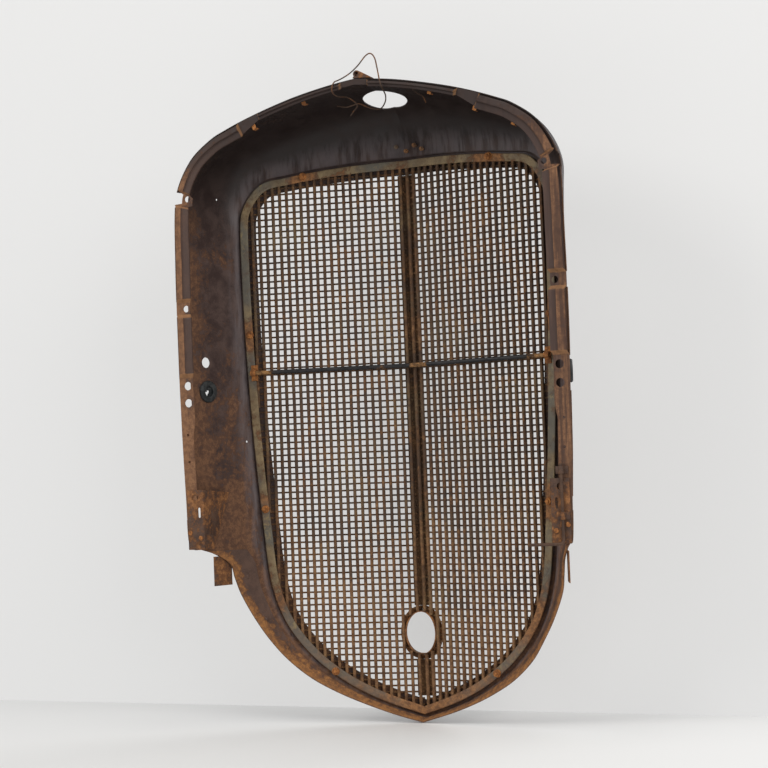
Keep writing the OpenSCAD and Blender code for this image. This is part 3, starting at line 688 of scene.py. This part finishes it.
mesh_rust = aged_metal("mesh_rust", paint=(0.052, 0.029, 0.017), worn=(0.100, 0.057, 0.031),
                       dark=(0.090, 0.044, 0.022), bright=(0.22, 0.115, 0.052), rust=0.46, gloss=0.65,
                       push=mesh_push, tint=dusted, bump=0.6)
along_mesh = (math.cos(v_half), -math.sin(v_half), 0)
through_mesh = (math.sin(v_half), math.cos(v_half), 0)
for side, word in ((1, "right"), (-1, "left")):
    points, faces = [], []
    for i in range(columns):
        s = (i + 0.5) * column_pitch
        x = s * math.cos(v_half)
        z_top = np.interp(x, upper_edge[:, 0], upper_edge[:, 1]) + grip
        z_low = np.interp(x, lower_edge[:, 0], lower_edge[:, 1]) - grip
        gap = oval(s - upright_w / 2, hole_a, hole_b)
        for z0, z1 in ([(z_low, crank_z - gap), (crank_z + gap, z_top)] if gap > 0 else [(z_low, z_top)]):
            steps = max(2, int((z1 - z0) / row_pitch * 1.5))
            path = []
            for z in np.linspace(z0, z1, steps):
                sway = noise.noise(Vector((i * 3.7 * side, z / 60, 1.3))) * 0.45
                path.append((on_mesh(s + sway, upright_d / 2, z), along_mesh, through_mesh))
            bar(points, faces, path, upright_w, upright_d, 0.55)
    uprights = new_piece("upright_wires_" + word, points, faces, side)
    shade(uprights, 60)
    dress(uprights, mesh_rust)
    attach(uprights, "shell")
    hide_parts("uprights_" + word)
    points, faces = [], []
    for j in range(-rows_down, rows_up + 1):
        z = j * row_pitch
        if z > corner_high:
            reach = 150
        elif z >= corner_low:
            reach = np.interp(-z, -upper_edge[:, 1], upper_edge[:, 0]) + grip
        else:
            reach = np.interp(z, side_edge[:, 1], side_edge[:, 0]) + grip
        s1 = reach / math.cos(v_half)
        near = max(0, abs(z - crank_z) - cross_h / 2)
        s0 = oval(near, hole_b, hole_a) if near < hole_b else 0.4
        path = []
        for s in np.linspace(s0, s1, max(3, int((s1 - s0) / column_pitch * 2))):
            sag = noise.noise(Vector((s / 50, j * 2.9 * side, 7.1))) * 0.5
            path.append((on_mesh(s, upright_d + cross_w / 2, z + sag), (0, 0, 1), through_mesh))
        bar(points, faces, path, cross_h, cross_w, 0.4)
    crossing = new_piece("cross_bars_" + word, points, faces, side)
    shade(crossing, 60)
    dress(crossing, mesh_rust)
    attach(crossing, "shell")
    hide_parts("cross_wires_" + word)

# ---------------------------------------------------------------- Retaining frames
# A flat steel band on each half clamps the edge of the mesh to the shell's seat. It was
# painted olive, and it has worn to ochre, grey and rust, most of all near its bolts.
frame_w, frame_t = 12, 2
bolt_places = [(c * column_pitch, r * row_pitch) for c, r in ((14, 34.5), (22.3, 9.5), (21, -18.5), (12, -44.5))]
band_profile = ((0.0, 0.25), (0.03, 0.75), (0.1, 0.97), (0.3, 1), (0.55, 0.98), (0.8, 1), (0.92, 0.95), (0.98, 0.7),
                (1, 0.2))
band_rows = np.arange(0, last + 0.01, 0.08)
band_rows[-1] = last


def band_push(tree):
    near_bolt = ramped(tree, mark(tree, "bolt"), 0.034, 0.004, 0.0, 1.1)
    low = ramped(tree, along(tree, "Z"), -0.25, -0.4, 0.0, 0.85)
    return maths(tree, "ADD", near_bolt, low)


def band_tint(tree, colour):
    """Grey-blue areas where the olive coat has gone, and bright ochre rubbed places."""
    place = part_place(tree)
    grey = maths(tree, "MULTIPLY", ramped(tree, cloud(tree, place, 120, 4), 0.46, 0.58), 0.75)
    bluish = mixed(tree, grey, colour, (0.105, 0.105, 0.092))
    rubbed = maths(tree, "MULTIPLY", ramped(tree, cloud(tree, place, 60, 5, 0.7), 0.54, 0.62),
                   ramped(tree, cloud(tree, place, 6, 3), 0.4, 0.6))
    return mixed(tree, maths(tree, "MULTIPLY", rubbed, 0.55), bluish, (0.30, 0.22, 0.10))


band_paint = aged_metal("band_paint", paint=(0.14, 0.098, 0.055), worn=(0.24, 0.175, 0.095),
                        dark=(0.10, 0.050, 0.030), bright=(0.30, 0.145, 0.060), rust=0.43, gloss=0.55,
                        push=band_push, tint=band_tint, bump=0.5)
for side, word in ((1, "right"), (-1, "left")):
    rear, front, near = [], [], []
    for u in band_rows:
        e, n = edge_at(u), out_at(u)
        row, under = [], []
        for across_band, lift in band_profile:
            p = e + n * across_band * frame_w
            s = max(0.5, p[0] / math.cos(v_half))
            wave = noise.noise(Vector((side * s / 45, 3.1, p[1] / 45))) * 0.25
            row.append(on_mesh(s, -frame_t * (0.35 + 0.63 * lift) + wave * 0.2, p[1]))
            under.append(on_mesh(s, -0.02, p[1]))
            near.append(min(math.hypot(s - b[0], p[1] - b[1]) for b in bolt_places) * mm)
        rear.append(row)
        front.append(under)
    rear, front = np.array(rear), np.array(front)
    band = new_piece("retaining_band_" + word, np.concatenate((rear.reshape(-1, 3), front.reshape(-1, 3))),
                     sheet_faces(*rear.shape[:2]), side, {"bolt": near + near})
    shade(band, 50)
    dress(band, band_paint)
    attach(band, "shell")
    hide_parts("retaining_frame_" + word)

# ---------------------------------------------------------------- Centre moulding and crank ring
# A folded strip covers the fold on the front of the mesh. Below it, a flanged ring
# stiffens the oval hole for the starting crank. Both are steel, rusted through their paint.


def softened(node, name, width, segments=2, angle=30):
    """A piece with the CAD node's shape and its edges rounded over."""
    piece = frame["nodes"][node].copy()
    piece.data = frame["nodes"][node].data.copy()
    piece.name = name
    piece.parent = None
    for key in list(piece.keys()):
        del piece[key]
    bpy.context.collection.objects.link(piece)
    shape = bmesh.new()
    shape.from_mesh(piece.data)
    bmesh.ops.remove_doubles(shape, verts=shape.verts, dist=0.00001)
    bmesh.ops.dissolve_limit(shape, angle_limit=math.radians(1), verts=shape.verts, edges=shape.edges)
    shape.to_mesh(piece.data)
    shape.free()
    rounding = piece.modifiers.new("rounding", "BEVEL")
    rounding.width = width * mm
    rounding.segments = segments
    rounding.limit_method = "ANGLE"
    rounding.angle_limit = math.radians(angle)
    applied(piece)
    shade(piece, 40)
    return piece


moulding = softened("centre_moulding", "folded_strip", 0.4)
dress(moulding, mesh_rust)
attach(moulding, "shell")
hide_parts("centre_moulding")

ring_rust = aged_metal("ring_rust", paint=(0.065, 0.033, 0.017), worn=(0.12, 0.064, 0.032),
                       dark=(0.105, 0.042, 0.017), bright=(0.32, 0.14, 0.048), rust=0.62, gloss=0.6, bump=0.6)
ring = softened("crank_ring", "crank_hole_ring", 0.35)
dress(ring, ring_rust)
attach(ring, "shell")
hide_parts("crank_ring")

# ---------------------------------------------------------------- Brace rod
# A steel rod runs across behind the mesh, bent at the fold to follow both halves. Its
# black paint is rusty at the ends and at the bend. A welded tab holds each end.
rod_radius, rod_z, rod_off, rod_end = 3.15, 32, -7.2, 247
bend_reach = 14


def tube(name, path, radius, sides=14, end_share=1):
    """A round bar through path, in mm. end_share is the radius at its far end, as a share of the rest."""
    points, faces = [], []
    normal = Vector((0.15, 0.1, 1))
    for i, centre in enumerate(path):
        ahead = (Vector(path[min(len(path) - 1, i + 1)]) - Vector(path[max(0, i - 1)])).normalized()
        normal = (normal - ahead * normal.dot(ahead)).normalized()
        second = ahead.cross(normal)
        size = radius * end_share if i == len(path) - 1 else radius
        for k in range(sides):
            a = 2 * math.pi * k / sides
            points.append(Vector(centre) + (normal * math.cos(a) + second * math.sin(a)) * size)
    for i in range(len(path) - 1):
        for k in range(sides):
            a, b = i * sides + k, i * sides + (k + 1) % sides
            faces.append((a, b, b + sides, a + sides))
    faces.append(tuple(reversed(range(sides))))
    faces.append(tuple((len(path) - 1) * sides + k for k in range(sides)))
    piece = new_piece(name, points, faces)
    shape = bmesh.new()
    shape.from_mesh(piece.data)
    bmesh.ops.recalc_face_normals(shape, faces=shape.faces)
    shape.to_mesh(piece.data)
    shape.free()
    shade(piece, 50)
    return piece


half_path = [on_mesh(s, rod_off, rod_z) for s in np.linspace(bend_reach, rod_end, 60)]
bend = [(x, ridge_y + rod_off / math.cos(v_half) - math.sqrt(x * x + 22) * math.tan(v_half) + 0.05, rod_z)
        for x in np.linspace(-bend_reach + 2, bend_reach - 2, 13)]
rod_path = [(-x, y, z) for x, y, z in reversed(half_path)] + bend + half_path


def rod_push(tree):
    where_x = along(tree, "X")
    ends = ramped(tree, maths(tree, "ABSOLUTE", where_x), 0.19, 0.235, 0.0, 0.8)
    middle = ramped(tree, maths(tree, "ABSOLUTE", maths(tree, "SUBTRACT", where_x, 0.016)), 0.022, 0.008, 0.0, 0.9)
    return maths(tree, "ADD", ends, middle)


rod_paint = aged_metal("rod_paint", paint=(0.010, 0.010, 0.011), worn=(0.028, 0.026, 0.027),
                       dark=(0.05, 0.028, 0.016), bright=(0.36, 0.19, 0.075), rust=0.33, gloss=0.42,
                       push=rod_push, bump=0.5)
rod = tube("cross_rod", rod_path, rod_radius)
dress(rod, rod_paint)
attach(rod, "shell")
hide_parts("brace_rod")

orange_rust = aged_metal("orange_rust", paint=(0.075, 0.036, 0.018), worn=(0.16, 0.08, 0.036),
                         dark=(0.13, 0.05, 0.02), bright=(0.42, 0.17, 0.05), rust=0.72, gloss=0.7, bump=0.7)
for word in ("left", "right"):
    tab = softened("brace_tab_" + word, "rod_tab_" + word, 0.3)
    dress(tab, orange_rust)
    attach(tab, "shell")
    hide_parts("brace_tab_" + word)

# ---------------------------------------------------------------- Corner brackets and side tabs
# A folded bracket is riveted to the lower end of each ledge, and its web meets the wall.
# Below it, the square end of the outer skin stands free. All are painted steel, rusty.
bracket_paint = aged_metal("bracket_paint", paint=(0.055, 0.030, 0.021), worn=(0.105, 0.060, 0.040),
                           dark=(0.12, 0.052, 0.024), bright=(0.30, 0.135, 0.05), rust=0.56, gloss=0.58, bump=0.45)
for word in ("left", "right"):
    bracket = softened("corner_bracket_" + word, "corner_plate_" + word, 0.35)
    dress(bracket, bracket_paint)
    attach(bracket, "shell")
    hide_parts("corner_bracket_" + word)
    side_tab = softened("side_tab_" + word, "skin_end_" + word, 0.3)
    dress(side_tab, bracket_paint)
    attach(side_tab, "shell")
    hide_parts("side_tab_" + word)

# ---------------------------------------------------------------- Lip strips
# A strip lines the lower wall from the bracket to the tip, riveted on. Rain has lain on
# it, so it is the rustiest part, bright orange with dark scale.
strip_first = 1 + len(seat_steps) + 8
strip_rows = np.arange(side_end + 1.5, last + 0.01, 0.125)
strip_rows[-1] = last
strip_grid = np.array([shell_section(u) for u in strip_rows])
strip_out = outward(strip_grid)


def strip_push(tree):
    return maths(tree, "ADD", ramped(tree, mark(tree, "across"), 0.45, 1.0, 0.0, 0.75),
                 ramped(tree, along(tree, "Z"), -0.30, -0.46, -0.1, 0.45))


strip_rust = aged_metal("strip_rust", paint=(0.075, 0.045, 0.035), worn=(0.115, 0.068, 0.050),
                        dark=(0.125, 0.060, 0.034), bright=(0.33, 0.150, 0.050), rust=0.40, gloss=0.6,
                        push=strip_push, bump=0.6)
for side, word in ((1, "right"), (-1, "left")):
    uneven = dents(strip_grid * (side, 1, 1), 30, 0.5)[..., None]
    shown = (strip_grid - strip_out * 1.3 + strip_out * uneven)[:, strip_first:]
    under = (strip_grid - strip_out * 0.15)[:, strip_first:]
    shown[-1, :, 0] = under[-1, :, 0] = 0
    share = np.tile(np.linspace(0, 1, shown.shape[1]), (shown.shape[0], 1))
    strip = new_piece("lip_lining_" + word, np.concatenate((shown.reshape(-1, 3), under.reshape(-1, 3))),
                      sheet_faces(*shown.shape[:2]), side, {"across": np.concatenate((share, share))})
    shade(strip, 40)
    dress(strip, strip_rust)
    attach(strip, "shell")
    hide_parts("lip_strip_" + word)

# ---------------------------------------------------------------- Grommets
# A black rubber grommet sits in each side wall for the headlamp's cable. The rubber has
# aged hard, and its skirt is split across the bore.
rubber = bpy.data.materials.new("old_rubber")
rubber.use_nodes = True
rubber_tree = rubber.node_tree
rubber_place = part_place(rubber_tree)
rubber_shader = rubber_tree.nodes["Principled BSDF"].inputs
bloomed = ramped(rubber_tree, cloud(rubber_tree, rubber_place, 8, 4), 0.4, 0.65)
rubber_tree.links.new(mixed(rubber_tree, bloomed, (0.010, 0.012, 0.013), (0.035, 0.038, 0.038)),
                      rubber_shader["Base Color"])
rubber_tree.links.new(ramped(rubber_tree, cloud(rubber_tree, rubber_place, 3, 3), 0.3, 0.7, 0.5, 0.75),
                      rubber_shader["Roughness"])
rubber_bump = feed(rubber_tree, "ShaderNodeBump", {"Height": cloud(rubber_tree, rubber_place, 1.5, 3), "Strength": 0.3,
                                                   "Distance": 0.0004})
rubber_tree.links.new(rubber_bump.outputs["Normal"], rubber_shader["Normal"])
spokes, circles, skirt_r, skirt_t = 40, 6, 8.3, 1
for side, word in ((1, "right"), (-1, "left")):
    grommet = softened("grommet_" + word, "cable_grommet_" + word, 0.5, 3, 20)
    dress(grommet, rubber)
    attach(grommet, "shell")
    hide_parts("grommet_" + word)
    way = Vector(grommet_way)
    level = Vector((0, 0, 1)).cross(way).normalized()
    skirt_points = []
    for a in np.radians(np.linspace(-100, 185, spokes + 1)):
        torn_r = 2.2 + 0.64 * math.sin(3 * a)
        for inward in np.linspace(0, 1, circles + 1):
            radius = skirt_r + (torn_r - skirt_r) * inward
            dip = 0.35 * math.sin(5 * a) * inward - 1.2 * inward ** 2
            skirt_points.append(Vector(grommet_place) + level * math.cos(a) * radius
                                + Vector((0, 0, math.sin(a) * radius)) + way * (dip - skirt_t))
    under = [p + way * skirt_t for p in skirt_points]
    skirt = new_piece("grommet_skirt_" + word, skirt_points + under, sheet_faces(spokes + 1, circles + 1), side)
    shade(skirt, 50)
    dress(skirt, rubber)
    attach(skirt, "shell")

# ---------------------------------------------------------------- Hinge bracket and latch
# A curled steel bracket on the rim takes the hood's centre hinge rod. On the right ledge
# a bent rod turns in two straps, and its arm swings across behind the mesh.
hinge = softened("hood_hinge_bracket", "hinge_socket", 0.4)
dress(hinge, bracket_paint)
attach(hinge, "shell")
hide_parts("hood_hinge_bracket")

straps = softened("latch_clips", "latch_straps", 0.25)
dress(straps, bracket_paint)
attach(straps, "shell")
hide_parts("latch_clips")

latch_rust = aged_metal("latch_rust", paint=(0.050, 0.027, 0.017), worn=(0.095, 0.052, 0.032),
                        dark=(0.10, 0.048, 0.025), bright=(0.26, 0.125, 0.055), rust=0.42, gloss=0.6)
latch_low, latch_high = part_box("latch_rod")
latch_joint = next(j for j in frame["joints"] if j["name"] == "latch_turn")
latch_x, latch_y = (v / mm for v in latch_joint["pos_m"][:2])
latch_r, latch_arm, latch_corner = 2.2, 46, 6
latch_top, latch_foot = latch_high.z / mm, latch_low.z / mm + latch_r
arm_way = Vector((-math.cos(math.radians(15)), -math.sin(math.radians(15)), 0))
latch_bottom = Vector((latch_x, latch_y, latch_foot))
latch_path = [Vector((latch_x, latch_y, z)) for z in np.linspace(latch_top, latch_foot + latch_corner, 14)]
latch_path += [latch_bottom + (arm_way * (1 - math.cos(a)) + Vector((0, 0, 1 - math.sin(a)))) * latch_corner
               for a in np.radians(np.linspace(15, 90, 6))]
latch_path += [latch_bottom + arm_way * r for r in np.linspace(8, latch_arm, 8)]
latch = tube("bent_latch", latch_path, latch_r, end_share=0.9)
dress(latch, latch_rust)
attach(latch, "latch")
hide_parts("latch_rod")

# ---------------------------------------------------------------- Fasteners and clips
# Round-head bolts with washers and hexagon nuts hold the frames; rivets hold the brackets
# and lip strips; four studs stand in the header. All are steel, and most are orange.
for node, name, width, material in (
        ("frame_bolts", "band_bolts", 0.4, orange_rust), ("frame_nuts", "band_nuts", 0.45, orange_rust),
        ("bracket_rivets", "plate_rivets", 0.5, orange_rust), ("lip_rivets", "lining_rivets", 0.4, strip_rust),
        ("header_studs", "header_pins", 0.3, band_paint), ("header_stud_nuts", "header_nuts", 0.3, band_paint),
        ("rim_clips", "lacing_clips", 0.2, orange_rust)):
    fastener = softened(node, name, width)
    dress(fastener, material)
    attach(fastener, "shell")
    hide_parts(node)

# ---------------------------------------------------------------- Loose wires
# A stiff bit of iron wire is hooked over the rim, twisted to itself and left in a loop,
# and a short stub of the same wire hangs beside it. Neither is a cord: both hold their bends.
wire_rust = aged_metal("wire_rust", paint=(0.045, 0.028, 0.020), worn=(0.10, 0.06, 0.04),
                       dark=(0.10, 0.045, 0.022), bright=(0.26, 0.12, 0.05), rust=0.5, gloss=0.6, bump=0.4)
loop_route = ((-52, 52, 413), (-35, 48, 409), (-23, 45, 410), (-13, 44, 411), (-3, 48, 406), (7, 52, 402),
              (20, 48, 401), (32, 36, 407), (39, 22, 413), (43, 6, 417), (46, -7, 420), (45, -10.5, 427),
              (41, -9, 447), (37, -7, 462), (30, -5, 469.7), (21, -3, 467.8), (7, 0, 456), (-7, 4, 448),
              (-20, 8, 443.5), (-28, 6, 440), (-29, -4, 436), (-30, -10.8, 428), (-31, -7, 420), (-32, 12, 418),
              (-25, 28, 419), (-19, 40, 414), (-17, 46, 408), (-25, 50, 402), (-31, 52, 396))
stub_route = ((85, 4, 422), (82, 20, 417), (85, 34, 412), (87, 46, 410), (87, 56, 403))
for name, node, route in (("loop_of_wire", "hanging_wire", loop_route), ("stub_of_wire", "wire_stub", stub_route)):
    loose = tube(name, [curve_at(route, u) for u in np.arange(0, len(route) - 0.99, 1 / 8)], 0.95, 10)
    dress(loose, wire_rust)
    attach(loose, "shell")
    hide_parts(node)
